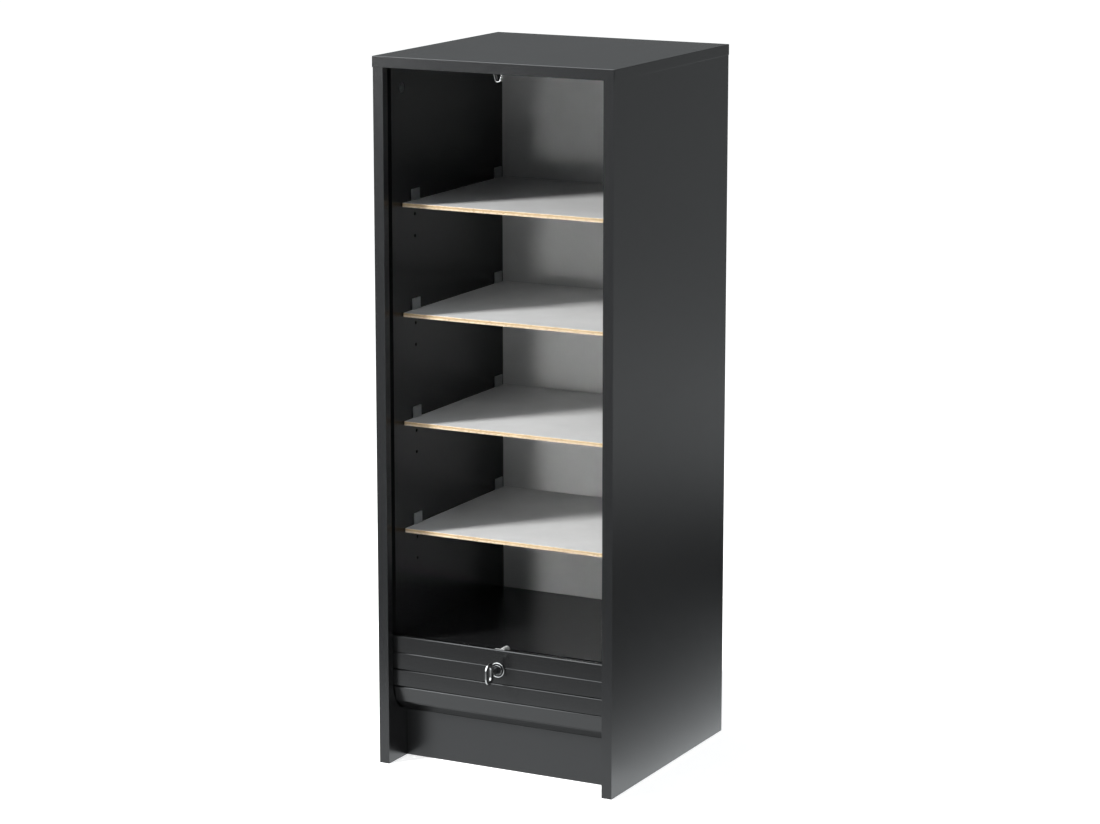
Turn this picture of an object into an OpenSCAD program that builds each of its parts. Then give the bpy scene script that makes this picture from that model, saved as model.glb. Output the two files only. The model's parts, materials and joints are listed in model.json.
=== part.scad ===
// Tambour cabinet: a narrow office cupboard on a plinth, with a slatted curtain
// that runs down in a groove, round under the base and up behind a false back.
// The origin is on the floor, midway between the key's bow and the screw heads on the back.
// +X is the right-hand side, -Y the open front, +Z up. Sizes are in millimetres.

/* [Carcass] */
// Width over the two side panels
body_w = 380; // [320:10:800]
// Depth from the front edges of the sides to the back
body_d = 375; // [340:5:460]
// Height from the floor to the upper face of the top
body_h = 1040; // [900:10:1300]
// Thickness of the top, the sides, the base and the rails
board_t = 16; // [15.5:0.5:19]
// How far the top stands out past the sides and their front edges
top_overhang = 1; // [0.5:0.5:4]
// Thickness of the inner back and the outer back
back_t = 3; // [2.5:0.5:4]
// Height of the plinth and the rear rail
rail_h = 71; // [60:1:110]
// How far the plinth stands back from the front edges
plinth_setback = 53; // [45:1:90]
// Width of the ledge that the outer back is screwed to
back_ledge = 5; // [4.5:0.25:5.5]

/* [Shelves] */
// Number of shelves
shelf_count = 4; // [1:1:4]
// Distance from one shelf to the next
shelf_pitch = 160; // [96:32:192]
// Thickness of a shelf
shelf_t = 6; // [4:0.5:8]
// How far the shelves and the base stand back from the front edges
shelf_setback = 51; // [48:1:70]
// Gap between a shelf's end and the side panel
shelf_gap = 1.2; // [0.5:0.1:2]
// Distance of the front pin holes from the front edges
pin_inset = 89; // [82:1:110]
// Distance of the rear pin holes from the inner back
pin_rear_inset = 17; // [15:1:40]
// Distance from one pin hole to the next
pin_spacing = 32; // [25:1:32]
// Pin holes at each end of a shelf, in each column
pin_rows = 3; // [1:1:3]
// Diameter of a pin hole
pin_hole_d = 5; // [4:0.5:6]
// Depth of a pin hole
pin_hole_depth = 9; // [6:0.5:11]

/* [Shelf clips] */
// Width of a clip along the shelf's end
clip_w = 21; // [14:1:24]
// Thickness of a clip's plate and lip
clip_t = 2.5; // [2.2:0.1:3]
// How far a clip's plate stands above the shelf
clip_rise = 16; // [14:0.5:20]
// Height of the pin above the shelf
clip_pin_rise = 11; // [8:0.5:11]
// How far a clip's lip reaches under the shelf
clip_lip = 11; // [6:1:16]

/* [Curtain] */
// Distance from one slat hinge to the next
slat_pitch = 25.4; // [22:0.2:28]
// Thickness of a slat
slat_t = 7; // [6.4:0.2:8]
// Radius of the bead that hinges one slat to the next
bead_r = 1.7; // [1.4:0.1:1.8]
// Play between a bead and its socket
bead_play = 0.15; // [0.1:0.05:0.25]
// Thickness of a slat's walls
slat_wall = 1.3; // [1:0.1:1.5]
// Height of the bright bevel along a slat's upper edge
slat_bevel = 1.1; // [0.6:0.1:1.4]
// Outer radius of the groove's two bends
bend_r = 42.5; // [40:0.5:56]
// Depth of the groove in the side panels
groove_depth = 8; // [6:0.5:8]
// Distance from the front edges to the groove
groove_front = 13.5; // [10:0.5:16]
// Play between the slats and the groove's outer wall
track_play = 0.5; // [0.4:0.1:0.8]
// Play between a slat's end and the bottom of the groove
end_play = 0.7; // [0.4:0.1:1.5]
// Height of the lead bar, in slats
lead_slats = 2; // [2:1:3]
// How far the lead bar stands above the base when the curtain is open
lead_stand = 7.5; // [3:0.5:12]
// Gap that stays between the lead bar and the top when the curtain is closed
closed_gap = 1; // [0.5:0.5:3]

/* [Lock] */
// Distance from the lead bar's upper edge to the lock's axis
lock_drop = 29.5; // [27.5:0.5:31]
// Diameter of the rosette
rosette_d = 22.5; // [21:0.5:26]
// How far the rosette stands in front of the lead bar
rosette_t = 3; // [2:0.5:5]
// Diameter of the barrel in the lead bar
barrel_d = 18.8; // [17:0.2:19.6]
// Diameter of the turning core
core_d = 13; // [11:0.5:14]
// Width of the case behind the lead bar
case_w = 42; // [38:1:50]
// Width of the key's bow, front to back
bow_w = 22; // [16:1:24]
// Height of the key's bow
bow_h = 32; // [24:1:36]
// Thickness of the key
key_t = 2.4; // [1.6:0.2:2.8]
// Distance from the bow to the rosette
key_neck = 12; // [8:1:16]

/* [Strike] */
// Width of the strap at the top
strike_w = 14.5; // [12:0.5:16]
// How far the strap hangs below the top
strike_drop = 13.5; // [12.5:0.5:15]
// Length of the strap front to back
strike_d = 8; // [6:0.5:9]
// Thickness of the strap
strike_t = 1.3; // [1:0.1:1.6]
// Wall that the lead bar keeps in front of the strap
pocket_front_wall = 3.3; // [2.5:0.1:4]

/* [Hidden] */
// Circles are drawn fine enough to be taken as true ones
$fn = 48;
// How far a cutting body reaches past the face that it cuts
over = 1;
// Play of a pin, a screw or a dowel in its hole, on the radius
hole_play = 0.1;
// Play between a panel and the slot that it slides into
slot_play = 0.15;

// The screws through the outer back
screw_d = 3;
screw_len = 16;
screw_head_d = 6;
screw_head_t = 1.6;

// The carcass
inner_w = body_w - 2 * board_t;
side_h = body_h - board_t;
key_reach = bow_w + key_neck + rosette_t - groove_front - track_play;
front_y = (key_reach - screw_head_t - body_d) / 2;
rear_y = front_y + body_d;

// The curtain's path, a line through the slat hinges
hinge_r = bend_r - track_play - slat_t / 2;
slat_sag = hinge_r - sqrt(pow(hinge_r, 2) - pow(slat_pitch / 2, 2));
inner_play = 0.35;
groove_w = track_play + slat_t + slat_sag + inner_play;
curtain_y = front_y + groove_front + track_play;
path_y = curtain_y + slat_t / 2;
bend_y1 = front_y + groove_front + bend_r;
bend_y2 = rear_y - back_t - bend_r;
shadow_gap = 1.5;
bend_z = rail_h + shadow_gap + bend_r;

// The ends of a slat: A skirt hides the joint, and the bead turns in the socket
socket_r = bead_r + bead_play;
socket_outer_r = socket_r + 0.8;
skirt_drop = 2.2;
skirt_bevel = 0.8;
end_drop = socket_outer_r + 0.35;
joint_drop = (skirt_drop + end_drop) / 2;
neck_t = 1.2;
neck_half = asin(neck_t / 2 / socket_r);
fold_max = 2 * asin(slat_pitch / 2 / hinge_r);
fold_bevel = slat_t / 2 * tan(fold_max / 2);
fold_play = 0.6;
mouth_play = 3;
floor_rise = socket_outer_r + 0.55;
floor_t = 4;

// Heights of the open curtain, from the bend upwards
first_straight = 4;
slat1_hinge_z = bend_z + first_straight + slat_pitch;
lead_h = lead_slats * slat_pitch - joint_drop;
lead_top = slat1_hinge_z + lead_h;
lead_t = groove_w - 2 * track_play;
lead_back_y = curtain_y + lead_t;
lead_line_depth = 0.8;
lead_edge = 0.8;
base_z = lead_top - lead_stand;
travel = side_h - closed_gap - lead_top;
slat_count = ceil(travel / slat_pitch) + 1;
slat_len = inner_w + 2 * (groove_depth - end_play);

// The backs and the shelves
channel_gap = 2;
inner_back_y = rear_y - back_t - groove_w - channel_gap - back_t;
back_slot = 4;
shelf_front = front_y + shelf_setback;
shelf_play = 0.5;
shelf_rear_play = 1;
clip_nib = 1.2;
pin_columns = [front_y + pin_inset, inner_back_y - pin_rear_inset];

// Knock-down fittings: A bolt in one board is drawn tight by a cam in the other
cam_dist = 34;
cam_d = 15;
cam_depth = 12.5;
cam_play = 0.15;
bolt_d = 7;
bolt_bore_d = 8;
bolt_neck_d = 4;
bolt_head_d = 6;
bolt_head_t = 2.5;
bolt_thread_d = 6;
bolt_thread_len = 10;
top_cam_y = [front_y + 54, rear_y - 54];
base_cam_y = [shelf_front + 40, inner_back_y - 40];
dowel_d = 8;
dowel_deep = 18;
dowel_short = 11;
dowel_offset = 32;
top_dowel_y = [top_cam_y[0] + dowel_offset, top_cam_y[1] - dowel_offset];
base_dowel_y = [base_cam_y[0] + dowel_offset, base_cam_y[1] - dowel_offset];
rail_dowel_z = [rail_h / 2 - 18, rail_h / 2 + 18];
plinth_y = front_y + plinth_setback;
rail_y = rear_y - back_t - board_t;

// The outer back and the places of its screws
back_foot = 6;
back_screw_x = inner_w / 2 + groove_depth + back_ledge / 2;
back_screw_end = 40;
back_screw_rows = 6;

// The strike: a strap with two legs in the top and a round foot
strike_y = curtain_y + pocket_front_wall + 1;
strike_leg = 9;
strike_foot_r = 4.8;
strike_rise = strike_drop - strike_foot_r;
strike_lean = atan2(strike_w / 2, strike_rise) - asin(strike_foot_r / norm([strike_w / 2, strike_rise]));
strike_leg_t = strike_t / cos(strike_lean);

// The pocket in the lead bar and the lock's case that takes the strap
pocket_play = 1;
pocket_half = strike_w / 2 + 1.5;
pocket_drop = strike_drop - closed_gap + 1.5;
pocket_back_y = strike_y + strike_d + pocket_play;

// The lock: its core, and a bolt that runs forward through the strap
run_gap = 0.3;
lock_z = lead_top - lock_drop;
face_y = curtain_y - rosette_t;
core_end_y = pocket_back_y + 1.5;
core_sink = 0.4;
tail_d = 8;
bolt_w = 5;
bolt_throw = strike_d;
bolt_plate_t = 3;
bolt_half = 8;
drive_pin_d = 2;
drive_play = 0.2;
drive_deep = 1.5;
nose_z = lead_top + closed_gap - strike_drop + strike_t + 3.2 + bolt_w / 2;
nose_top = nose_z + bolt_w / 2;
nose_y = pocket_back_y + run_gap;
plate_y = core_end_y + bolt_throw + run_gap;
cavity_back_y = plate_y + bolt_plate_t + run_gap;
cover_t = 2;
case_back_y = cavity_back_y + cover_t;
nose_window = bolt_w + 2 * run_gap;
hump_r = nose_window / 2 + 2;
case_top = nose_z - 1.5;
case_bottom = slat1_hinge_z + floor_t;
screw_inset = 4.5;
case_screws = [
    for (x = [-1, 1], z = [case_bottom + screw_inset, case_top - screw_inset])
        [x * (case_w / 2 - screw_inset), z]
];
case_screw_grip = 4.5;

// The key
blade_h = 7.5;
blade_t = 2;
blade_end_y = core_end_y - 3;
key_play = 0.15;
bow_wall = 5.7;

carcass_color = [0.13, 0.13, 0.13];
slat_color = [0.16, 0.16, 0.165];
shelf_color = [0.80, 0.80, 0.78];
steel_color = [0.75, 0.75, 0.74];
wood_color = [0.72, 0.58, 0.40];
clip_color = [0.55, 0.56, 0.56];

// Slats with a node of their own: The rest, more in a taller cabinet, share one
named_slats = 24;
function slat_name(i) = str("slat_", i < 10 ? "0" : "", i);

// The curtain's path. The distance s runs from the lead bar's hinge: down the front,
// round the lower bend, back under the base, round the rear bend and up the back.
front_run = slat1_hinge_z - bend_z;
arc_run = PI / 2 * hinge_r;
s_bottom = front_run + arc_run;
s_rear_bend = s_bottom + bend_y2 - bend_y1;
s_rear = s_rear_bend + arc_run;

function arc_angle(s) = s / hinge_r * 180 / PI;
function path(s) =
    s < front_run ? [path_y, slat1_hinge_z - s]
    : s < s_bottom ? [bend_y1 - hinge_r * cos(arc_angle(s - front_run)),
                      bend_z - hinge_r * sin(arc_angle(s - front_run))]
    : s < s_rear_bend ? [bend_y1 + s - s_bottom, bend_z - hinge_r]
    : s < s_rear ? [bend_y2 + hinge_r * sin(arc_angle(s - s_rear_bend)),
                    bend_z - hinge_r * cos(arc_angle(s - s_rear_bend))]
    : [bend_y2 + hinge_r, bend_z + s - s_rear];

// The next hinge lies one pitch away in a straight line: The interval is halved until it is found.
function next_hinge(s, low, high, steps = 30) =
    steps == 0 ? (low + high) / 2
    : norm(path((low + high) / 2) - path(s)) < slat_pitch
      ? next_hinge(s, (low + high) / 2, high, steps - 1)
      : next_hinge(s, low, (low + high) / 2, steps - 1);
function hinge_s(i) =
    i == 0 ? 0 : let (s = hinge_s(i - 1)) next_hinge(s, s + slat_pitch / 2, s + slat_pitch * 1.5);

// Each outline is drawn out along X: Its x becomes Y and its y becomes Z.
module along_x(length) {
    rotate([90, 0, 90])
        for (i = [0 : $children - 1])
            linear_extrude(height = length, center = true) children(i);
}

// A block with its middle on the cabinet's centre plane
module block(width, y0, y1, z0, z1) {
    translate([-width / 2, y0, z0]) cube([width, y1 - y0, z1 - z0]);
}

module rod_y(diameter, y0, y1, x = 0, z = 0) {
    translate([x, y0, z]) rotate([-90, 0, 0]) cylinder(d = diameter, h = y1 - y0);
}

// The lower end of a slat, drawn about its hinge: the floor of the slat, a bevelled skirt
// in front, and the socket, whose mouth lets the neck swing back as the curtain bends
module socket_end(open_mouth) {
    difference() {
        along_x(slat_len) {
            circle(r = socket_outer_r);
            polygon([
                [-slat_t / 2, floor_rise], [-slat_t / 2, -skirt_drop + skirt_bevel],
                [-slat_t / 2 + skirt_bevel, -skirt_drop], [-slat_t / 2 + slat_wall, -skirt_drop],
                [-slat_t / 2 + slat_wall, 0], [slat_wall / 2, 0], [slat_wall, floor_rise]
            ]);
        }
        along_x(slat_len + 2 * over) {
            circle(r = socket_r);
            if (open_mouth)
                translate([-socket_r, -2 * socket_outer_r])
                    square([2 * socket_r, 2 * socket_outer_r]);
            else
                polygon([
                    [0, 0],
                    for (a = [-neck_half - mouth_play, fold_max / 2, fold_max + neck_half + mouth_play])
                        [2 * socket_outer_r * sin(a), -2 * socket_outer_r * cos(a)]
                ]);
        }
    }
}

// A slat about its upper hinge, with its outer face at negative Y: a hollow wall section with
// a bead above and a socket below. The back is bevelled so that the slats can fold.
module slat_shape(open_mouth = false) {
    back_top = -end_drop - fold_bevel / 2;
    back_bottom = -slat_pitch + fold_bevel + fold_play;
    floor_y = -slat_pitch + floor_rise;
    difference() {
        along_x(slat_len) {
            polygon([
                [-slat_t / 2, -end_drop - slat_bevel], [-slat_t / 2 + slat_bevel, -end_drop],
                [0, -end_drop], [slat_t / 2, back_top], [slat_t / 2, back_bottom],
                [slat_wall, floor_y], [-slat_t / 2, floor_y]
            ]);
            translate([-neck_t / 2, -end_drop - slat_wall / 2]) square([neck_t, end_drop]);
            circle(r = bead_r);
        }
        along_x(slat_len + 2 * over)
            polygon([
                [-slat_t / 2 + slat_wall, -end_drop - slat_bevel - slat_wall],
                [slat_t / 2 - slat_wall, back_top - slat_wall],
                [slat_t / 2 - slat_wall, back_bottom + slat_wall],
                [slat_wall, floor_y + slat_wall],
                [-slat_t / 2 + slat_wall, floor_y + slat_wall]
            ]);
    }
    translate([0, 0, -slat_pitch]) socket_end(open_mouth);
}

// One slat in its place on the path. The first one lets go of the second as the curtain rises.
module slat(i) {
    upper = path(hinge_s(i - 1));
    lower = path(hinge_s(i));
    fold = atan2(lower[0] - upper[0], upper[1] - lower[1]);
    color(slat_color)
        translate([0, upper[0], upper[1]]) rotate([fold, 0, 0]) slat_shape(open_mouth = i == 1);
}

// The lead bar: a solid wall as thick as the groove allows, with a slat's lower end, a line
// across its face, a hole for the barrel and a pocket for the strap
module lead_bar() {
    back = lead_t - slat_t / 2;
    line_z = lead_h - slat_pitch;
    color(slat_color) difference() {
        translate([0, path_y, slat1_hinge_z]) {
            socket_end(open_mouth = false);
            difference() {
                along_x(slat_len)
                    polygon([
                        [-slat_t / 2, floor_rise - over], [slat_wall, floor_rise - over],
                        [slat_t / 2, fold_bevel + fold_play], [back, floor_t],
                        [back, lead_h - lead_edge], [back - lead_edge, lead_h],
                        [-slat_t / 2 + slat_bevel, lead_h], [-slat_t / 2, lead_h - slat_bevel]
                    ]);
                along_x(slat_len + 2 * over)
                    polygon([
                        [-slat_t / 2 - over, line_z - lead_line_depth - over],
                        [-slat_t / 2 + lead_line_depth, line_z],
                        [-slat_t / 2 - over, line_z + lead_line_depth + over]
                    ]);
            }
        }
        rod_y(barrel_d + 2 * hole_play, curtain_y - over, lead_back_y + over, 0, lock_z);
        strike_pocket();
        for (p = case_screws)
            rod_y(screw_d, lead_back_y - case_screw_grip - 0.5, lead_back_y + over, p[0], p[1]);
    }
}

module strike_pocket() {
    block(2 * pocket_half, strike_y - pocket_play, pocket_back_y,
          lead_top - pocket_drop, lead_top + closed_gap + over);
}

// The groove, cut into the inner face of the right-hand side
module bend_cut(y, side) {
    translate([inner_w / 2 - over, y, bend_z]) intersection() {
        rotate([0, 90, 0]) difference() {
            cylinder(r = bend_r, h = groove_depth + over);
            translate([0, 0, -over]) cylinder(r = bend_r - groove_w, h = groove_depth + 3 * over);
        }
        translate([-over, side < 0 ? -2 * bend_r : 0, -2 * bend_r])
            cube([groove_depth + 3 * over, 2 * bend_r, 2 * bend_r]);
    }
}

module track_cut() {
    x0 = inner_w / 2 - over;
    depth = groove_depth + over;
    translate([x0, front_y + groove_front, bend_z])
        cube([depth, groove_w, side_h - bend_z + over]);
    bend_cut(bend_y1, -1);
    translate([x0, bend_y1, bend_z - bend_r]) cube([depth, bend_y2 - bend_y1, groove_w]);
    bend_cut(bend_y2, 1);
    translate([x0, rear_y - back_t - groove_w, bend_z])
        cube([depth, groove_w + over, side_h - bend_z + over]);
}

module pin_holes() {
    for (y = pin_columns, i = [1 : shelf_count], row = [0 : pin_rows - 1])
        translate([inner_w / 2 - over, y, shelf_top(i) + clip_pin_rise - row * pin_spacing])
            rotate([0, 90, 0]) cylinder(d = pin_hole_d, h = pin_hole_depth + over);
}

// Fittings, drawn about the joint between two boards: The board with the cam is below,
// and its face with the cam's mouth looks along +X.
module cam_board_cut() {
    translate([board_t / 2 - cam_depth, 0, -cam_dist]) rotate([0, 90, 0])
        cylinder(d = cam_d, h = cam_depth + over);
    translate([0, 0, -cam_dist]) cylinder(d = bolt_bore_d, h = cam_dist + over);
}

module bolt_board_cut() {
    translate([0, 0, -over])
        cylinder(d = bolt_thread_d + 2 * hole_play, h = bolt_thread_len + 2 * over);
}

module cam() {
    head_slot = bolt_head_d + 0.6;
    neck_slot = bolt_neck_d + 0.6;
    cross = 1.2;
    face_x = board_t / 2 - cam_play;
    difference() {
        translate([board_t / 2 - cam_depth + cam_play, 0, -cam_dist]) rotate([0, 90, 0])
            cylinder(d = cam_d - 2 * cam_play, h = cam_depth - 2 * cam_play);
        translate([-head_slot / 2, -head_slot / 2, -cam_dist - 0.5])
            cube([head_slot, head_slot, bolt_head_t + 1]);
        translate([-neck_slot / 2, -neck_slot / 2, -cam_dist])
            cube([neck_slot, neck_slot, cam_d]);
        for (turn = [0, 90])
            translate([face_x - 1.5, 0, -cam_dist]) rotate([turn, 0, 0])
                translate([0, -cross / 2, -cam_d / 4]) cube([2 * over + 1, cross, cam_d / 2]);
    }
}

module cam_bolt() {
    shaft_end = -cam_dist + cam_d / 2 + 1;
    cylinder(d = bolt_thread_d, h = bolt_thread_len);
    translate([0, 0, shaft_end]) cylinder(d = bolt_d, h = -shaft_end);
    translate([0, 0, -cam_dist]) cylinder(d = bolt_neck_d, h = shaft_end + cam_dist + over);
    translate([0, 0, -cam_dist]) cylinder(d = bolt_head_d, h = bolt_head_t);
}

module dowel_cut() {
    translate([0, 0, -dowel_deep]) cylinder(d = dowel_d, h = dowel_deep + dowel_short);
}

module dowel() {
    bevel = 1;
    play = 0.5;
    radius = dowel_d / 2 - hole_play;
    rotate_extrude() polygon([
        [0, -dowel_deep + play], [radius - bevel, -dowel_deep + play],
        [radius, -dowel_deep + play + bevel], [radius, dowel_short - play - bevel],
        [radius - bevel, dowel_short - play], [0, dowel_short - play]
    ]);
}

// The places of the joints between the boards
module top_joints(sides, ys) {
    for (side = sides, y = ys)
        translate([side * (inner_w + board_t) / 2, y, side_h])
            rotate([0, 0, side > 0 ? 180 : 0]) children();
}

module base_joints(sides, ys) {
    for (side = sides, y = ys)
        translate([side * inner_w / 2, y, base_z - board_t / 2])
            mirror([side > 0 ? 0 : 1, 0, 0]) rotate([0, 90, 0]) children();
}

module rail_joints(sides, ys) {
    for (side = sides, y = ys, z = rail_dowel_z)
        translate([side * inner_w / 2, y + board_t / 2, z]) rotate([0, side * 90, 0]) children();
}

// The right-hand side panel; the left-hand one is its mirror image
module side_shape() {
    difference() {
        translate([inner_w / 2, front_y, 0]) cube([board_t, body_d, side_h]);
        track_cut();
        translate([inner_w / 2 - over, rear_y - back_t, -over])
            cube([groove_depth + back_ledge + over, back_t + over, side_h + 2 * over]);
        translate([inner_w / 2 - over, inner_back_y - slot_play, base_z])
            cube([back_slot + over, back_t + 2 * slot_play, side_h - base_z + over]);
        pin_holes();
        top_joints([1], top_cam_y) cam_board_cut();
        top_joints([1], top_dowel_y) dowel_cut();
        base_joints([1], base_cam_y) bolt_board_cut();
        base_joints([1], base_dowel_y) dowel_cut();
        rail_joints([1], [plinth_y, rail_y]) dowel_cut();
        back_screw_columns([1]) back_screw_cut();
    }
}

module right_side() { color(carcass_color) side_shape(); }
module left_side() { color(carcass_color) mirror([1, 0, 0]) side_shape(); }

module top_panel() {
    leg_d = strike_d + 2 * hole_play;
    color(carcass_color) difference() {
        block(body_w + 2 * top_overhang, front_y - top_overhang, rear_y, side_h, body_h);
        top_joints([-1, 1], top_cam_y) bolt_board_cut();
        top_joints([-1, 1], top_dowel_y) dowel_cut();
        for (side = [0, 1])
            mirror([side, 0, 0])
                translate([strike_w / 2 - strike_leg_t - hole_play, strike_y - hole_play, side_h - over])
                    cube([strike_leg_t + 2 * hole_play, leg_d, strike_leg + over]);
    }
}

module base_panel() {
    color(carcass_color) difference() {
        block(inner_w, shelf_front, inner_back_y + back_t, base_z - board_t, base_z);
        base_joints([-1, 1], base_cam_y) cam_board_cut();
        base_joints([-1, 1], base_dowel_y) dowel_cut();
    }
}

module plinth() {
    color(carcass_color) difference() {
        block(inner_w, plinth_y, plinth_y + board_t, 0, rail_h);
        rail_joints([-1, 1], [plinth_y]) dowel_cut();
    }
}

module rear_rail() {
    color(carcass_color) difference() {
        block(inner_w, rail_y, rail_y + board_t, 0, rail_h);
        rail_joints([-1, 1], [rail_y]) dowel_cut();
        back_screw_row() back_screw_cut();
    }
}

module inner_back() {
    width = inner_w + 2 * (back_slot - slot_play);
    color(shelf_color) block(width, inner_back_y, inner_back_y + back_t, base_z, side_h);
}

module outer_back() {
    width = inner_w + 2 * (groove_depth + back_ledge - slot_play);
    color(carcass_color) difference() {
        block(width, rear_y - back_t, rear_y, back_foot, side_h);
        back_screw_columns([-1, 1]) back_screw_cut();
        back_screw_row() back_screw_cut();
    }
}

// The places of the screws through the outer back, into the sides and into the rear rail
module back_screw_columns(sides) {
    step = (side_h - 2 * back_screw_end) / (back_screw_rows - 1);
    for (side = sides, row = [0 : back_screw_rows - 1])
        translate([side * back_screw_x, rear_y, back_screw_end + row * step]) children();
}

module back_screw_row() {
    for (x = [-inner_w / 4, inner_w / 4]) translate([x, rear_y, rail_h / 2]) children();
}

module back_screw_cut() { rod_y(screw_d + 2 * hole_play, -screw_len - 0.5, over); }

module back_screw() {
    rod_y(screw_d, -screw_len, 0.5);
    rotate([-90, 0, 0]) rotate_extrude() polygon([
        [0, 0], [screw_head_d / 2, 0], [screw_head_d / 2 - 0.5, 1], [screw_head_d / 4, screw_head_t],
        [0, screw_head_t]
    ]);
}

module back_screws() {
    color(steel_color) {
        back_screw_columns([-1, 1]) back_screw();
        back_screw_row() back_screw();
    }
}

// The shelves, cut away at their ends for the clips
function shelf_top(i) = base_z + i * shelf_pitch;

module shelf(i) {
    notch = clip_t + shelf_play;
    color(shelf_color) difference() {
        block(inner_w - 2 * shelf_gap, shelf_front, inner_back_y - shelf_rear_play,
              shelf_top(i) - shelf_t, shelf_top(i));
        for (side = [0, 1], y = pin_columns)
            mirror([side, 0, 0])
                translate([inner_w / 2 - notch, y - clip_w / 2 - shelf_play,
                           shelf_top(i) - shelf_t - over])
                    cube([notch, clip_w + 2 * shelf_play, shelf_t + 2 * over]);
    }
}

// A clip for the right-hand end of a shelf: a plate on the side, a lip under the shelf,
// a nib that keeps the shelf down, and a pin
module clip() {
    low = -shelf_t - clip_t;
    translate([-clip_t, -clip_w / 2, low]) cube([clip_t, clip_w, clip_rise - low]);
    translate([-clip_t - clip_lip, -clip_w / 2, low]) cube([clip_lip + clip_t / 2, clip_w, clip_t]);
    translate([-clip_t / 2, 0, clip_pin_rise]) rotate([0, 90, 0])
        cylinder(d = pin_hole_d - 2 * hole_play, h = pin_hole_depth - 1 + clip_t / 2);
    translate([-clip_t - clip_nib, -clip_w / 4, shelf_play])
        cube([clip_nib + clip_t / 2, clip_w / 2, clip_nib]);
}

module shelf_clips() {
    color(clip_color)
        for (i = [1 : shelf_count], y = pin_columns, side = [0, 1])
            mirror([side, 0, 0]) translate([inner_w / 2, y, shelf_top(i)]) clip();
}

module cam_fittings() {
    color(steel_color) {
        top_joints([-1, 1], top_cam_y) cam();
        base_joints([-1, 1], base_cam_y) cam();
    }
}

module cam_bolts() {
    color(steel_color) {
        top_joints([-1, 1], top_cam_y) cam_bolt();
        base_joints([-1, 1], base_cam_y) cam_bolt();
    }
}

module dowels() {
    color(wood_color) {
        top_joints([-1, 1], top_dowel_y) dowel();
        base_joints([-1, 1], base_dowel_y) dowel();
        rail_joints([-1, 1], [plinth_y, rail_y]) dowel();
    }
}

// The strap: two legs that stand in the top, lean together and run into a round foot.
// The foot's arc turns from one leg to the other in short straight steps.
function foot_arc(radius, from, to, steps = 20) = [
    for (i = [0 : steps]) let (a = from + (to - from) * i / steps)
        [radius * cos(a), radius * sin(a) - strike_rise]
];

module strike() {
    half = strike_w / 2;
    top = strike_leg - 0.5;
    color(steel_color)
        translate([0, strike_y + strike_d, side_h]) rotate([90, 0, 0])
            linear_extrude(height = strike_d) polygon(concat(
                [[half, top], [half, 0]],
                foot_arc(strike_foot_r, -strike_lean, strike_lean - 180),
                [[-half, 0], [-half, top], [strike_leg_t - half, top], [strike_leg_t - half, 0]],
                foot_arc(strike_foot_r - strike_t, strike_lean - 180, -strike_lean),
                [[half - strike_leg_t, 0], [half - strike_leg_t, top]]
            ));
}

// The lock: A flanged barrel fills the hole in the lead bar, and a case behind it holds the bolt.
module lock_barrel() {
    bore = core_d / 2 + hole_play;
    depth = core_end_y - curtain_y;
    color(steel_color) translate([0, curtain_y, lock_z]) rotate([-90, 0, 0])
        rotate_extrude() polygon([
            [bore, -rosette_t + 0.8], [bore + 0.8, -rosette_t],
            [rosette_d / 2 - 1.2, -rosette_t], [rosette_d / 2, -rosette_t + 1.2],
            [rosette_d / 2, 0], [barrel_d / 2, 0], [barrel_d / 2, depth], [bore, depth]
        ]);
}

module lock_case() {
    plate_half = bolt_half + run_gap;
    color(steel_color) difference() {
        union() {
            block(case_w, lead_back_y, cavity_back_y, case_bottom, case_top);
            hump(pocket_back_y, cavity_back_y);
        }
        rod_y(barrel_d + 2 * hole_play, lead_back_y - over, core_end_y + over, 0, lock_z);
        block(2 * plate_half, core_end_y, cavity_back_y + over,
              lock_z - plate_half, lock_z + plate_half);
        block(nose_window, core_end_y, cavity_back_y + over, lock_z, nose_top + run_gap);
        block(nose_window, pocket_back_y - over, core_end_y + over,
              nose_z - nose_window / 2, nose_top + run_gap);
        strike_pocket();
        case_screw_holes(lead_back_y - over, cavity_back_y + over);
    }
}

// The round-topped guide over the bolt's nose, which stands up from the middle of the case
module hump(y0, y1) {
    rod_y(2 * hump_r, y0, y1, 0, nose_z);
    block(2 * hump_r, y0, y1, case_top - over, nose_z);
}

module case_screw_holes(y0, y1) {
    for (p = case_screws) rod_y(screw_d + 2 * hole_play, y0, y1, p[0], p[1]);
}

module lock_cover() {
    color(steel_color) difference() {
        union() {
            block(case_w, cavity_back_y, case_back_y, case_bottom, case_top);
            hump(cavity_back_y, case_back_y);
        }
        case_screw_holes(cavity_back_y - over, case_back_y + over);
    }
}

module lock_screws() {
    color(steel_color) for (p = case_screws) {
        rod_y(screw_d - 2 * hole_play, lead_back_y - case_screw_grip, case_back_y + 0.5, p[0], p[1]);
        rod_y(5.6, case_back_y, case_back_y + 1.5, p[0], p[1]);
    }
}

module lock_core() {
    color(steel_color) difference() {
        union() {
            rod_y(core_d, face_y + core_sink, core_end_y - run_gap, 0, lock_z);
            rod_y(tail_d, core_end_y - over, cavity_back_y - run_gap, 0, lock_z);
        }
        translate([-blade_t / 2 - key_play, face_y - over, lock_z - blade_h / 2 - key_play])
            cube([blade_t + 2 * key_play, blade_end_y - face_y + over + key_play,
                  blade_h + 2 * key_play]);
        drive_groove();
    }
}

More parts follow.
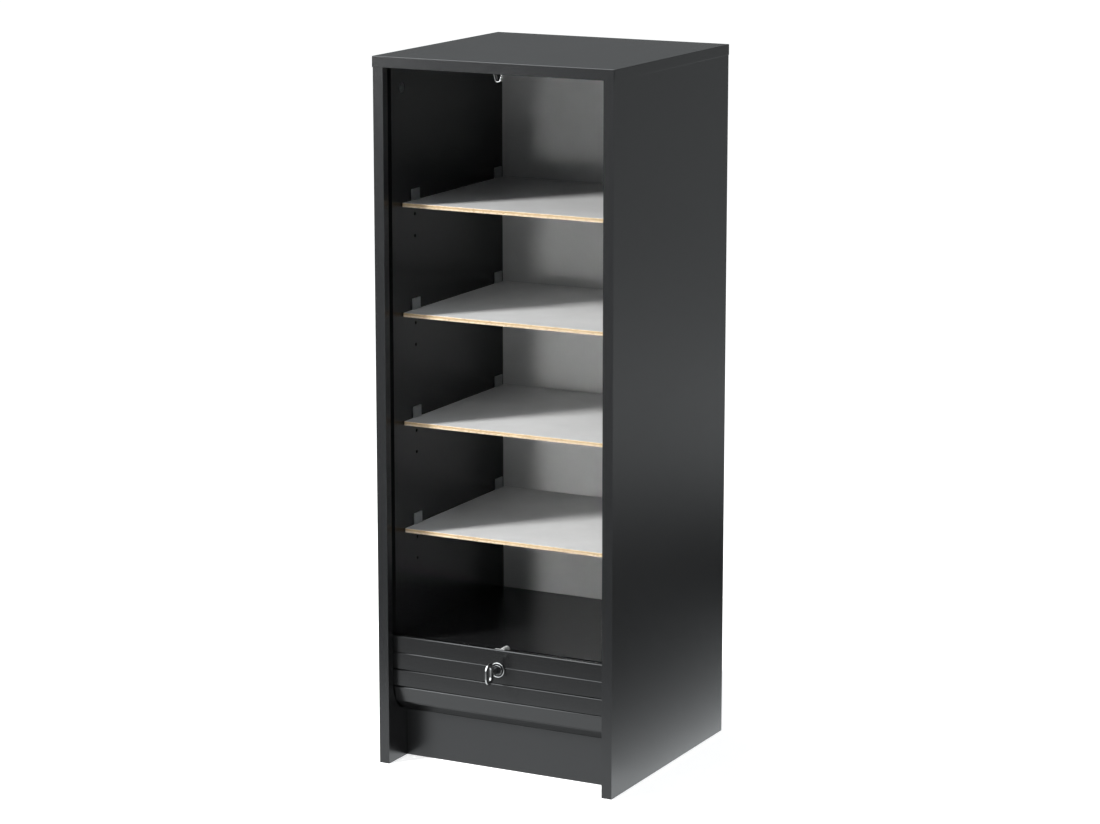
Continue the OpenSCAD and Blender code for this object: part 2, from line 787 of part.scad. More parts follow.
// The groove that drives the bolt: It comes in from the tail's end, then winds a quarter turn
// round the tail over the bolt's throw, in short straight steps along the helix.
module drive_groove() {
    steps = 12;
    reach = PI / 4 * tail_d;
    width = drive_pin_d + 2 * drive_play;
    piece = norm([reach, bolt_throw]) / steps + drive_pin_d;
    pin_y = plate_y + bolt_plate_t / 2;
    translate([-width / 2, pin_y, lock_z - tail_d / 2 - over])
        cube([width, bolt_plate_t, drive_deep + over]);
    for (i = [0 : steps])
        translate([0, pin_y - bolt_throw * i / steps, lock_z])
            rotate([0, -90 * i / steps, 0])
                translate([0, 0, -tail_d / 2 - over])
                    rotate([0, 0, -atan2(bolt_throw, reach)])
                        translate([-piece / 2, -width / 2, 0])
                            cube([piece, width, drive_deep + over]);
}

// The bolt: a plate round the core's tail, the pin that runs in the tail's groove, and a stem
// with a nose that goes forward through the strap
module lock_bolt() {
    pin_len = bolt_half - 2 - tail_d / 2 + drive_deep - run_gap;
    plate_back_y = plate_y + bolt_plate_t;
    color(steel_color) {
        difference() {
            union() {
                block(2 * bolt_half, plate_y, plate_back_y, lock_z - bolt_half, lock_z + bolt_half);
                block(bolt_w, plate_y, plate_back_y, lock_z, nose_top);
            }
            rod_y(tail_d + run_gap, plate_y - over, plate_back_y + over, 0, lock_z);
        }
        translate([0, plate_y + bolt_plate_t / 2, lock_z - bolt_half + 2])
            cylinder(d = drive_pin_d, h = pin_len);
        block(bolt_w, nose_y, plate_y + over, nose_z - bolt_w / 2, nose_top);
    }
}

// The key: an upright bow with an eye, a neck, and a notched blade in the core
module key() {
    bow_y = face_y - key_neck - bow_w / 2;
    neck_end = face_y + core_sink - 0.6;
    color(steel_color) translate([0, 0, lock_z]) {
        difference() {
            along_x(key_t) {
                translate([bow_y, 0]) bow_outline(0);
                translate([bow_y, -blade_h / 2 - 1]) square([neck_end - bow_y, blade_h + 2]);
            }
            along_x(key_t + 2 * over) translate([bow_y - 1.7, 0]) bow_outline(bow_wall);
        }
        difference() {
            along_x(blade_t)
                translate([neck_end - over, -blade_h / 2])
                    square([blade_end_y - neck_end + over, blade_h]);
            for (cut = [0 : 3])
                along_x(blade_t + 2 * over)
                    translate([face_y + 4.5 + 3.1 * cut, blade_h / 2])
                        polygon([[-1.3, 0.5], [1.3, 0.5], [0.3, -1.2 - 0.4 * (cut % 2)],
                                 [-0.3, -1.2 - 0.4 * (cut % 2)]]);
        }
    }
}

// An upright bow: two half rounds joined by straight sides
module bow_outline(inset) {
    radius = bow_w / 2 - inset;
    half = (bow_h - bow_w) / 2;
    for (side = [-1, 1]) translate([0, side * half]) circle(r = radius);
    translate([-radius, -half]) square([2 * radius, 2 * half]);
}

top_panel();
left_side();
right_side();
base_panel();
plinth();
rear_rail();
inner_back();
outer_back();
for (i = [1 : shelf_count])
    shelf(i);
shelf_clips();
cam_fittings();
cam_bolts();
dowels();
back_screws();
strike();
lead_bar();
lock_barrel();
lock_case();
lock_cover();
lock_screws();
lock_core();
lock_bolt();
key();
for (i = [1 : named_slats])
    slat(i);
for (i = [named_slats + 1 : slat_count]) slat(i);  // tail_slats
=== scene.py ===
"""A tambour cabinet with its shelves, curtain and lock, dressed and lit around its frame.

Sizes are in metres, in the frame's own axes: +X to the right, -Y to the open front, +Z up.
"""
import json
import logging
import math
from dataclasses import dataclass
from enum import Enum

import bmesh
import bpy
import numpy as np
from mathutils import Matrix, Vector


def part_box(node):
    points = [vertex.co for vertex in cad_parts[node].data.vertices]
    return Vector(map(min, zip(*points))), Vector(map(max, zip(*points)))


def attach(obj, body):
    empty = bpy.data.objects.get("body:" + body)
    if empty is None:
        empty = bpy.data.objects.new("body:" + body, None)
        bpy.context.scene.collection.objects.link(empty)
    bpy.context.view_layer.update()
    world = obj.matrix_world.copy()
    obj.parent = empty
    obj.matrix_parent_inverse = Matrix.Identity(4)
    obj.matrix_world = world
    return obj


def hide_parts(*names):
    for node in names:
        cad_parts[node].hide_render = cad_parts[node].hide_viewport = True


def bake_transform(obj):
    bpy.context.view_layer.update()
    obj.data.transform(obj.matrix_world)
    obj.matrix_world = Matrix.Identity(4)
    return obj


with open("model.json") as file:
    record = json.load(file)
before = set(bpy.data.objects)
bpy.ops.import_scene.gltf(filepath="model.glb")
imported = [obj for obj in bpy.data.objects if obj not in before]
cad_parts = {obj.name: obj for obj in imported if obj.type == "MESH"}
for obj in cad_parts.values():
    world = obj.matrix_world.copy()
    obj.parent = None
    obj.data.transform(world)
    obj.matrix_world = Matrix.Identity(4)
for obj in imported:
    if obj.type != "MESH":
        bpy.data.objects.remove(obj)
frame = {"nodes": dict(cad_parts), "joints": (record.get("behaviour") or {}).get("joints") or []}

LOG = logging.getLogger("tambour_cabinet")
MM = 0.001
JOIN_DISTANCE = 2e-6
SHARP_ANGLE = math.radians(50)
LEVEL_ANGLE = math.radians(0.5)
BROAD = 4 * MM

Colour = tuple[float, float, float]
Socket = bpy.types.NodeSocket
Material = bpy.types.Material


class Axis(Enum):
    """The axis that a board's thickness or a turned part's centre line runs along."""

    X = 0
    Y = 1
    Z = 2


# Outlines and grids


def span(node: str) -> tuple[np.ndarray, np.ndarray]:
    """Gives a CAD node's lowest and highest corner as arrays."""
    low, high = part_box(node)
    return np.array(low, float), np.array(high, float)


def along(axis: Axis, points: np.ndarray) -> np.ndarray:
    """Turns points drawn as (u, v, w), with w along the axis, into (x, y, z).

    The three numbers of each point are moved round in a circle, which turns nothing inside out.

    Args:
        axis: where w points.
        points: an array whose last dimension is (u, v, w).

    Returns:
        The array in x, y, z.
    """
    return np.roll(points, axis.value + 1, axis=-1)


def rounded(corners: np.ndarray, radius: float, steps: int = 4) -> np.ndarray:
    """Rounds every corner of a closed outline.

    An arc's centre is on the corner's bisector, radius / sin(half the angle) away, and the arc
    runs between the two points that are radius / tan(half the angle) from the corner.

    Args:
        corners: the outline's corners, one row each.
        radius: the radius of every corner.
        steps: how many straight steps an arc has.

    Returns:
        The rounded outline's points.
    """
    before = np.roll(corners, 1, axis=0) - corners
    after = np.roll(corners, -1, axis=0) - corners
    before /= np.linalg.norm(before, axis=1, keepdims=True)
    after /= np.linalg.norm(after, axis=1, keepdims=True)
    half = np.arccos(np.clip(np.sum(before * after, axis=1), -1, 1)) / 2
    bisector = before + after
    bisector /= np.linalg.norm(bisector, axis=1, keepdims=True)
    centre = bisector * (radius / np.sin(half))[:, None]
    touch = (radius / np.tan(half))[:, None]
    turn = (np.pi - 2 * half)[:, None, None]
    share = np.linspace(0, 1, steps + 1)[None, :, None]
    start, end = before * touch - centre, after * touch - centre
    arc = np.sin((1 - share) * turn) * start[:, None] + np.sin(share * turn) * end[:, None]
    return ((corners + centre)[:, None] + arc / np.sin(turn)).reshape(-1, 2)


def rectangle(low: np.ndarray, high: np.ndarray, radius: float) -> np.ndarray:
    """Draws a rectangle between two corners, counter-clockwise, with rounded corners."""
    u0, v0, u1, v1 = low[0], low[1], high[0], high[1]
    return rounded(np.array([[u0, v0], [u1, v0], [u1, v1], [u0, v1]]), radius)


def eased_slab(outline: np.ndarray, low: float, high: float, ease: float,
               axis: Axis = Axis.Z, steps: int = 4) -> np.ndarray:
    """Lofts an outline into a board whose two rims are quarter rounds.

    At height low + ease * (1 - cos t) the outline is drawn in by ease * (1 - sin t), with t from
    0 to a quarter turn, and the upper rim is the same upside down. A corner moves in along its
    mitre, inset * (n1 + n2) / (1 + n1.n2), with n1 and n2 the normals of its two sides.

    Args:
        outline: the board's outline, counter-clockwise seen from the axis's far end.
        low: where the board starts along the axis.
        high: where it ends.
        ease: the rims' radius.
        axis: the axis of its thickness.
        steps: how many steps a rim has.

    Returns:
        A grid of points, one row for each level.
    """
    side = np.roll(outline, -1, axis=0) - outline
    side /= np.linalg.norm(side, axis=1, keepdims=True)
    normal = np.stack([-side[:, 1], side[:, 0]], axis=1)
    before = np.roll(normal, 1, axis=0)
    mitre = (normal + before) / (1 + np.sum(normal * before, axis=1, keepdims=True))
    t = np.linspace(0, np.pi / 2, steps + 1)
    inset, rise = ease * (1 - np.sin(t)), ease * (1 - np.cos(t))
    insets = np.concatenate([inset, inset[::-1]])
    levels = np.concatenate([low + rise, high - rise[::-1]])
    flat = outline[None] + mitre[None] * insets[:, None, None]
    heights = np.broadcast_to(levels[:, None, None], flat.shape[:2] + (1,))
    return along(axis, np.concatenate([flat, heights], axis=2))


def turned(profile: np.ndarray, centre: np.ndarray, axis: Axis = Axis.Y,
           segments: int = 64) -> np.ndarray:
    """Turns a profile of (radius, distance) points about an axis through a centre.

    A point lies at centre + (r cos a, r sin a, d), with a running once round.

    Args:
        profile: radius and distance along the axis, one row each.
        centre: the point that distances are measured from.
        axis: the axis of the turning.
        segments: how many steps one turn has.

    Returns:
        A grid of points, one row for each point of the profile.
    """
    angle = np.arange(segments) * 2 * np.pi / segments
    radius = profile[:, :1]
    distance = np.broadcast_to(profile[:, 1:], (len(profile), segments))
    ring = np.stack([radius * np.cos(angle), radius * np.sin(angle), distance], axis=2)
    return along(axis, ring) + centre


def swept(path: np.ndarray, section: np.ndarray) -> np.ndarray:
    """Carries a cross-section along a path that lies in an XZ plane.

    With T the path's direction, the section's first number is measured along Y x T, and its
    second along Y: a point lies at path + s1 * (Tz, 0, -Tx) + s2 * (0, 1, 0).

    Args:
        path: the path's points.
        section: the section's outline, counter-clockwise.

    Returns:
        A grid of points, one row for each point of the path.
    """
    direction = np.gradient(path, axis=0)
    direction /= np.linalg.norm(direction, axis=1, keepdims=True)
    across = np.stack([direction[:, 2], 0 * direction[:, 0], -direction[:, 0]], axis=1)
    return (path[:, None] + section[None, :, :1] * across[:, None]
            + section[None, :, 1:] * np.array([0.0, 1.0, 0.0]))


def skin(name: str, grids: list[np.ndarray], ring: bool = False) -> bpy.types.Mesh:
    """Puts one mesh over grids of points, each wrapped across its rows.

    Args:
        name: the mesh's name.
        grids: arrays of rows by columns by three, which turn outwards where the columns run
            counter-clockwise seen from the last row.
        ring: True where the last row joins the first, and no ends need closing.

    Returns:
        The closed mesh.
    """
    points, faces, first = [], [], 0
    for grid in grids:
        rows, columns = grid.shape[:2]
        index = first + np.arange(rows * columns).reshape(rows, columns)
        near = index if ring else index[:-1]
        far = np.roll(index, -1, axis=0) if ring else index[1:]
        quads = np.stack([near, np.roll(near, -1, axis=1), np.roll(far, -1, axis=1), far], axis=2)
        faces += quads.reshape(-1, 4).tolist()
        if not ring:
            faces += [index[0, ::-1].tolist(), index[-1].tolist()]
        points.append(grid.reshape(-1, 3))
        first += rows * columns
    mesh = bpy.data.meshes.new(name)
    mesh.from_pydata(np.concatenate(points), [], faces)
    return mesh


def flatten(mesh: bpy.types.Mesh) -> None:
    """Shades broad faces flat, and those in one plane with them, so that only edges look round.

    A face is broad where 2 * area / perimeter, about its narrower side, is over BROAD.

    Args:
        mesh: the mesh, shaded smooth.
    """
    shape = bmesh.new()
    shape.from_mesh(mesh)
    broad = {f for f in shape.faces if 2 * f.calc_area() > BROAD * f.calc_perimeter()}
    for face in shape.faces:
        level = {other for edge in face.edges if edge.calc_face_angle(1.0) < LEVEL_ANGLE
                 for other in edge.link_faces}
        face.smooth = face not in broad and not level & broad
    shape.to_mesh(mesh)
    shape.free()


def piece(name: str, mesh: bpy.types.Mesh, body: str, node: str) -> None:
    """Makes a mesh a piece of the cabinet.

    Args:
        name: the piece's name.
        mesh: its mesh, already in place.
        body: the body that it rides on.
        node: the CAD node that it replaces.
    """
    mesh.shade_smooth()
    mesh.set_sharp_from_angle(angle=SHARP_ANGLE)
    flatten(mesh)
    made = bpy.data.objects.new(name, mesh)
    bpy.context.scene.collection.objects.link(made)
    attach(made, body)
    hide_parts(node)
    LOG.info("%s: %d faces on %s", name, len(mesh.polygons), body)


def joined(node: str) -> bmesh.types.BMesh:
    """Copies a CAD node's mesh and joins its loose triangles where they meet."""
    shape = bmesh.new()
    shape.from_mesh(frame["nodes"][node].data)
    bmesh.ops.remove_doubles(shape, verts=shape.verts, dist=JOIN_DISTANCE)
    return shape


def eased_copy(node: str, width: float, segments: int = 2, sharp: float = 35.0) -> bpy.types.Mesh:
    """Copies a CAD node's mesh with its level triangles made one face and its edges rounded.

    Args:
        node: the CAD node.
        width: how far from an edge its rounding starts.
        segments: how many steps the rounding has.
        sharp: the smallest angle in degrees between two faces that are rounded off.

    Returns:
        The new mesh.
    """
    shape = joined(node)
    bmesh.ops.dissolve_limit(shape, angle_limit=LEVEL_ANGLE, verts=shape.verts,
                             edges=shape.edges)
    corners = [e for e in shape.edges
               if len(e.link_faces) == 2 and e.calc_face_angle(0) > math.radians(sharp)]
    bmesh.ops.bevel(shape, geom=corners, offset=width, segments=segments, profile=0.5,
                    affect="EDGES", clamp_overlap=True, harden_normals=False)
    mesh = bpy.data.meshes.new(node)
    shape.to_mesh(mesh)
    shape.free()
    return mesh


# Shader groups and finishes


class Sheet:
    """A node tree with short calls for adding and joining nodes."""

    def __init__(self, tree: bpy.types.NodeTree) -> None:
        """Keeps the tree."""
        self.tree = tree

    def add(self, kind: str, settings: dict | None = None, **inputs: object) -> bpy.types.Node:
        """Adds a node, sets its attributes, and sets or links its inputs.

        Args:
            kind: the node's type.
            settings: attributes of the node.
            inputs: a value or an output for each input, named with _ for a space, or i and its
                number.

        Returns:
            The node.
        """
        node = self.tree.nodes.new(kind)
        for key, value in (settings or {}).items():
            setattr(node, key, value)
        for key, value in inputs.items():
            socket = node.inputs[int(key[1:]) if key[1:].isdigit() else key.replace("_", " ")]
            if isinstance(value, Socket):
                self.tree.links.new(value, socket)
            else:
                socket.default_value = value
        return node

    def group(self, name: str, **inputs: object) -> bpy.types.NodeOutputs:
        """Places a shader group and gives its outputs."""
        tree = bpy.data.node_groups[name]
        return self.add("ShaderNodeGroup", {"node_tree": tree}, **inputs).outputs

    def maths(self, operation: str, first: Socket | float, second: Socket | float = 0.0) -> Socket:
        """Gives the result of an operation on one or two numbers."""
        return self.add("ShaderNodeMath", {"operation": operation}, i0=first, i1=second).outputs[0]

    def sum(self, first: Socket | float, factor: Socket | float, last: Socket | float) -> Socket:
        """Gives first * factor + last."""
        return self.add("ShaderNodeMath", {"operation": "MULTIPLY_ADD"},
                        i0=first, i1=factor, i2=last).outputs[0]

    def vectors(self, operation: str, first: Socket, second: Colour = (0.0, 0.0, 0.0)) -> Socket:
        """Gives the vector, or for a length or a dot product the number, of an operation."""
        node = self.add("ShaderNodeVectorMath", {"operation": operation}, i0=first, i1=second)
        return node.outputs["Value" if operation in ("LENGTH", "DOT_PRODUCT") else "Vector"]

    def noise(self, vector: Socket, scale: Socket | float, detail: float, roughness: float = 0.5,
              distortion: float = 0.0) -> Socket:
        """Gives soft noise from 0 to 1."""
        return self.add("ShaderNodeTexNoise", Vector=vector, Scale=scale, Detail=detail,
                        Roughness=roughness, Distortion=distortion).outputs[0]

    def mixed(self, share: Socket | float, first: Socket | Colour, last: Socket | Colour) -> Socket:
        """Gives the colour that lies a share of the way from first to last."""
        first, last = (c if isinstance(c, Socket) else (*c, 1.0) for c in (first, last))
        return self.add("ShaderNodeMix", {"data_type": "RGBA"}, i0=share, i6=first,
                        i7=last).outputs[2]

    def ramp(self, value: Socket, low: float, high: float) -> Socket:
        """Gives a value's smooth rise from 0 at low to 1 at high."""
        return self.add("ShaderNodeMapRange", {"interpolation_type": "SMOOTHSTEP"},
                        Value=value, From_Min=low, From_Max=high).outputs[0]


class Group(Sheet):
    """A shader group, with its given inputs and its results."""

    def __init__(self, name: str, inputs: dict[str, float | None], results: tuple[str, ...]) -> None:
        """Starts the group.

        Args:
            name: the group's name.
            inputs: each input's name and its usual value, or None for a vector.
            results: the names of its outputs, each one number.
        """
        super().__init__(bpy.data.node_groups.new(name, "ShaderNodeTree"))
        for key, value in inputs.items():
            kind = "NodeSocketVector" if value is None else "NodeSocketFloat"
            socket = self.tree.interface.new_socket(key, in_out="INPUT", socket_type=kind)
            if value is not None:
                socket.default_value = value
        for key in results:
            self.tree.interface.new_socket(key, in_out="OUTPUT", socket_type="NodeSocketFloat")
        self.given = self.add("NodeGroupInput").outputs
        self.results = self.add("NodeGroupOutput").inputs

    def put(self, **values: Socket) -> None:
        """Links a value to each named output."""
        for key, value in values.items():
            self.tree.links.new(value, self.results[key])


class Relief(Enum):
    """The shader groups that draw a finish's relief."""

    GRAIN = "Fine grain"
    LINES = "Drawn lines"
    FIBRE = "Pressed fibre"


def fine_grain() -> None:
    """Builds the pressed grain of melamine and moulded plastic: soft pores over small dimples.

    Its Height is for bumps, and its Tone for slight changes of colour.
    """
    group = Group(Relief.GRAIN.value, {"Vector": None, "Scale": 1600.0}, ("Height", "Tone"))
    vector, scale = group.given["Vector"], group.given["Scale"]
    dimples = group.add("ShaderNodeTexVoronoi", {"feature": "SMOOTH_F1"},
                        Vector=vector, Scale=scale, Smoothness=0.6).outputs["Distance"]
    pores = group.noise(vector, scale, 3.0, 0.6)
    cloud = group.noise(vector, 9.0, 4.0, 0.55)
    group.put(Height=group.sum(dimples, 0.6, pores), Tone=group.sum(pores, 0.35, cloud))


def drawn_lines() -> None:
    """Builds the fine lines that a die or a grinding belt leaves along a part.

    Its Height and Tone run in lines along the vector's X.
    """
    group = Group(Relief.LINES.value, {"Vector": None, "Scale": 1.0}, ("Height", "Tone"))
    stretched = group.vectors("MULTIPLY", group.given["Vector"], (0.012, 1.0, 1.0))
    size = group.add("ShaderNodeVectorMath", {"operation": "SCALE"}, i0=stretched,
                     Scale=group.given["Scale"]).outputs[0]
    lines = group.noise(size, 1400.0, 4.0, 0.7)
    bands = group.noise(size, 160.0, 2.0)
    group.put(Height=group.sum(bands, 0.5, lines), Tone=group.sum(lines, 0.5, bands))


def pressed_fibre() -> None:
    """Builds a sawn edge of pressed wood: small chips of several tones in a fine binder.

    Its Height is for bumps, and its Tone for the chips' colours.
    """
    group = Group(Relief.FIBRE.value, {"Vector": None, "Scale": 650.0}, ("Height", "Tone"))
    flat = group.vectors("MULTIPLY", group.given["Vector"], (0.35, 0.35, 1.0))
    chips = group.add("ShaderNodeTexVoronoi", Vector=flat, Scale=group.given["Scale"],
                      Randomness=1.0)
    fibre = group.noise(flat, group.given["Scale"], 5.0, 0.7)
    shade = group.add("ShaderNodeSeparateColor", Color=chips.outputs["Color"]).outputs[0]
    group.put(Height=group.sum(chips.outputs["Distance"], 0.5, fibre),
              Tone=group.sum(shade, 0.6, fibre))


def handling() -> None:
    """Builds what use leaves: smears where hands wipe a surface, and dust on what faces up.

    Its Smear and Dust both run from 0 to 1.
    """
    group = Group("Handling", {"Vector": None, "Smear size": 7.0}, ("Smear", "Dust"))
    vector = group.given["Vector"]
    warp = group.noise(vector, group.given["Smear size"], 3.0, distortion=0.8)
    specks = group.noise(vector, 900.0, 2.0)
    facing = group.add("ShaderNodeSeparateXYZ",
                       Vector=group.add("ShaderNodeNewGeometry").outputs["Normal"])
    upwards = group.ramp(facing.outputs["Z"], 0.6, 0.98)
    group.put(Smear=group.ramp(warp, 0.35, 0.7),
              Dust=group.maths("MULTIPLY", upwards, group.ramp(specks, 0.42, 0.72)))


@dataclass(frozen=True)
class Texture:
    """The relief of a finish: what draws it, how fine and deep it is, and how it tones."""

    relief: Relief
    scale: float
    depth: float
    tone: float


@dataclass(frozen=True)
class Finish:
    """A finish with one colour, its relief, and what handling does to it."""

    name: str
    colour: Colour
    roughness: float
    texture: Texture
    metallic: float = 0.0
    gloss: float = 0.5
    smear: float = 0.08
    dust: float = 0.0
    passing_light: float = 0.0
    tone_span: tuple[float, float] = (0.35, 1.15)

    def colour_at(self, sheet: Sheet, tone: Socket) -> Socket:
        """Gives the base colour: the finish's own, darker or lighter by the relief's tone."""
        dark = tuple(c * (1 - self.texture.tone) for c in self.colour)
        light = tuple(min(c * (1 + self.texture.tone), 1.0) for c in self.colour)
        return sheet.mixed(sheet.ramp(tone, *self.tone_span), dark, light)

    def build(self) -> Material:
        """Builds the material.

        Returns:
            The material, which reads Object coordinates.
        """
        material = bpy.data.materials.new(self.name)
        material.use_nodes = True
        sheet = Sheet(material.node_tree)
        sheet.tree.nodes.clear()
        vector = sheet.add("ShaderNodeTexCoord").outputs["Object"]
        relief = sheet.group(self.texture.relief.value, Vector=vector, Scale=self.texture.scale)
        marks = sheet.group("Handling", Vector=vector)
        dusted = sheet.sum(marks["Dust"], self.dust, 0.0)
        base = sheet.mixed(dusted, self.colour_at(sheet, relief["Tone"]), DUST_COLOUR)
        rough = sheet.sum(marks["Smear"], self.smear, self.roughness)
        bump = sheet.add("ShaderNodeBump", Strength=1.0, Distance=self.texture.depth,
                         Height=relief["Height"])
        shader = sheet.add("ShaderNodeBsdfPrincipled", Base_Color=base, Roughness=rough,
                           Metallic=self.metallic, Specular_IOR_Level=self.gloss,
                           Transmission_Weight=self.passing_light, Normal=bump.outputs[0])
        result = sheet.add("ShaderNodeOutputMaterial", Surface=shader.outputs[0])
        result.is_active_output = True
        return material


@dataclass(frozen=True)
class EdgeFinish(Finish):
    """A sawn shelf edge: a browner core, nearer the top, between two paler layers."""

    core_colour: Colour = (0.40, 0.29, 0.17)
    core: tuple[float, float] = (0.42, 0.80)
    core_fade: tuple[float, float] = (0.08, 0.05)
    chip_span: tuple[float, float] = (0.95, 0.30)

    def colour_at(self, sheet: Sheet, tone: Socket) -> Socket:
        """Gives the layers' colours, told apart by the piece's own edge_height."""
        height = sheet.add("ShaderNodeAttribute", {"attribute_name": "edge_height"}).outputs["Fac"]
        over, above = (sheet.ramp(height, place - fade, place + fade)
                       for place, fade in zip(self.core, self.core_fade))
        plain = sheet.mixed(above, sheet.mixed(over, self.colour, self.core_colour), self.colour)
        shade = tuple(c * (1 - self.texture.tone) for c in self.core_colour)
        return sheet.mixed(sheet.ramp(tone, *self.chip_span), plain, shade)


DUST_COLOUR: Colour = (0.32, 0.31, 0.29)
BOARD_GRAIN = Texture(Relief.GRAIN, 1600.0, 0.00006, 0.10)
CAST_GRAIN = Texture(Relief.GRAIN, 1300.0, 0.00006, 0.14)
PLATE_LINES = Texture(Relief.LINES, 2.2, 0.000008, 0.05)

FINISHES: dict[str, Finish] = {
    "black_board": Finish("Black melamine", (0.0078, 0.0080, 0.0085), 0.25, BOARD_GRAIN,
                          gloss=0.42, smear=0.012, dust=0.01),
    "pale_board": Finish("Pale grey melamine", (0.70, 0.70, 0.695), 0.46, BOARD_GRAIN,
                         smear=0.06, dust=0.05),
    "raw_edge": EdgeFinish("Sawn shelf edge", (0.60, 0.49, 0.35), 0.8,
                           Texture(Relief.FIBRE, 900.0, 0.00006, 0.15), gloss=0.2),
    "curtain": Finish("Extruded black plastic", (0.0050, 0.0050, 0.0052), 0.21,
                      Texture(Relief.LINES, 1.0, 0.00002, 0.12), gloss=0.47, smear=0.02,
                      dust=0.01),
    "clip": Finish("Smoky clear plastic", (0.44, 0.46, 0.47), 0.28,
                   Texture(Relief.GRAIN, 900.0, 0.00004, 0.06), passing_light=0.45),
    # Two copies of one nickel plate: a darker one on the rosette and key, painted shade, and a
    # lighter one on the strike, a painted highlight.
    "painted_shade_nickel": Finish("Nickel plate darkened as painted shade", (0.33, 0.328, 0.325), 0.15, PLATE_LINES,
                          metallic=1.0, smear=0.04),
    "nickel": Finish("Nickel plate lightened as painted highlight", (0.86, 0.855, 0.85), 0.14, PLATE_LINES,
                     metallic=1.0, smear=0.05),
    "dark_nickel": Finish("Black nickel plate", (0.05, 0.05, 0.052), 0.18, PLATE_LINES,
                          metallic=1.0, smear=0.03),
    # Paler and less metallic than the cast zinc, so the case's hump shows bright: a painted highlight
    # over the real zinc.
    "case": Finish("Zinc paled as painted highlight", (0.74, 0.74, 0.73), 0.38,
                   Texture(Relief.GRAIN, 1300.0, 0.00005, 0.08), metallic=0.35, smear=0.10),
    "zinc": Finish("Cast zinc", (0.52, 0.53, 0.54), 0.36, CAST_GRAIN, metallic=1.0, smear=0.14),
    "cam": Finish("Dull cast zinc", (0.16, 0.165, 0.17), 0.48, CAST_GRAIN, metallic=1.0),
    "plated_steel": Finish("Zinc plated steel", (0.62, 0.62, 0.60), 0.27,
                           Texture(Relief.LINES, 3.0, 0.00001, 0.10), metallic=1.0, smear=0.12),
    "beech": Finish("Beech", (0.50, 0.33, 0.19), 0.62,
                    Texture(Relief.LINES, 1.6, 0.00005, 0.28), gloss=0.3),
}


class Shop:
    """Builds each finish once, the first time that a piece asks for it."""

    def __init__(self) -> None:
        """Builds the shared shader groups."""
        for build in (fine_grain, drawn_lines, handling, pressed_fibre):
            build()
        self.made: dict[str, Material] = {}

    def finish(self, key: str) -> Material:
        """Gives the material of a finish."""
        if key not in self.made:
            self.made[key] = FINISHES[key].build()
        return self.made[key]

    def dress(self, mesh: bpy.types.Mesh, *keys: str) -> None:
        """Gives a mesh its finishes, one slot each."""
        mesh.materials.clear()
        for key in keys:
            mesh.materials.append(self.finish(key))


# Sub-assemblies


@dataclass
class Carcass:
    """The black boards: lofted where they are plain, and eased copies where they are drilled."""

    edge: float = 0.9 * MM
    panel_edge: float = 0.5 * MM
    thin_edge: float = 0.3 * MM

    def board(self, node: str, axis: Axis, edge: float) -> bpy.types.Mesh:
        """Lofts a plain board in its node's place.

        Args:
            node: the CAD node.
            axis: the axis of the board's thickness.
            edge: how far its edges are rounded.

        Returns:
            The board's mesh.
        """
        low, high = span(node)
        first, second = np.roll([0, 1, 2], -axis.value - 1)[:2]
        outline = rectangle(low[[first, second]], high[[first, second]], edge)
        return skin(node, [eased_slab(outline, low[axis.value], high[axis.value], edge, axis)])

    def build(self, shop: Shop) -> None:
        """Builds and dresses every board of the carcass."""
        plain = {"top_panel": (Axis.Z, self.edge), "plinth": (Axis.Y, self.panel_edge),
                 "rear_rail": (Axis.Y, self.panel_edge), "outer_back": (Axis.Y, self.thin_edge),
                 "inner_back": (Axis.Y, self.thin_edge)}
        for node, (axis, edge) in plain.items():
            mesh = self.board(node, axis, edge)
            pale = node == "inner_back"
            shop.dress(mesh, "pale_board" if pale else "black_board")
            piece(f"{node}_eased", mesh, "root", node)
        for node in ("left_side", "right_side", "base_panel"):
            mesh = eased_copy(node, self.panel_edge)
            shop.dress(mesh, "black_board")
            piece(f"{node}_eased", mesh, "root", node)


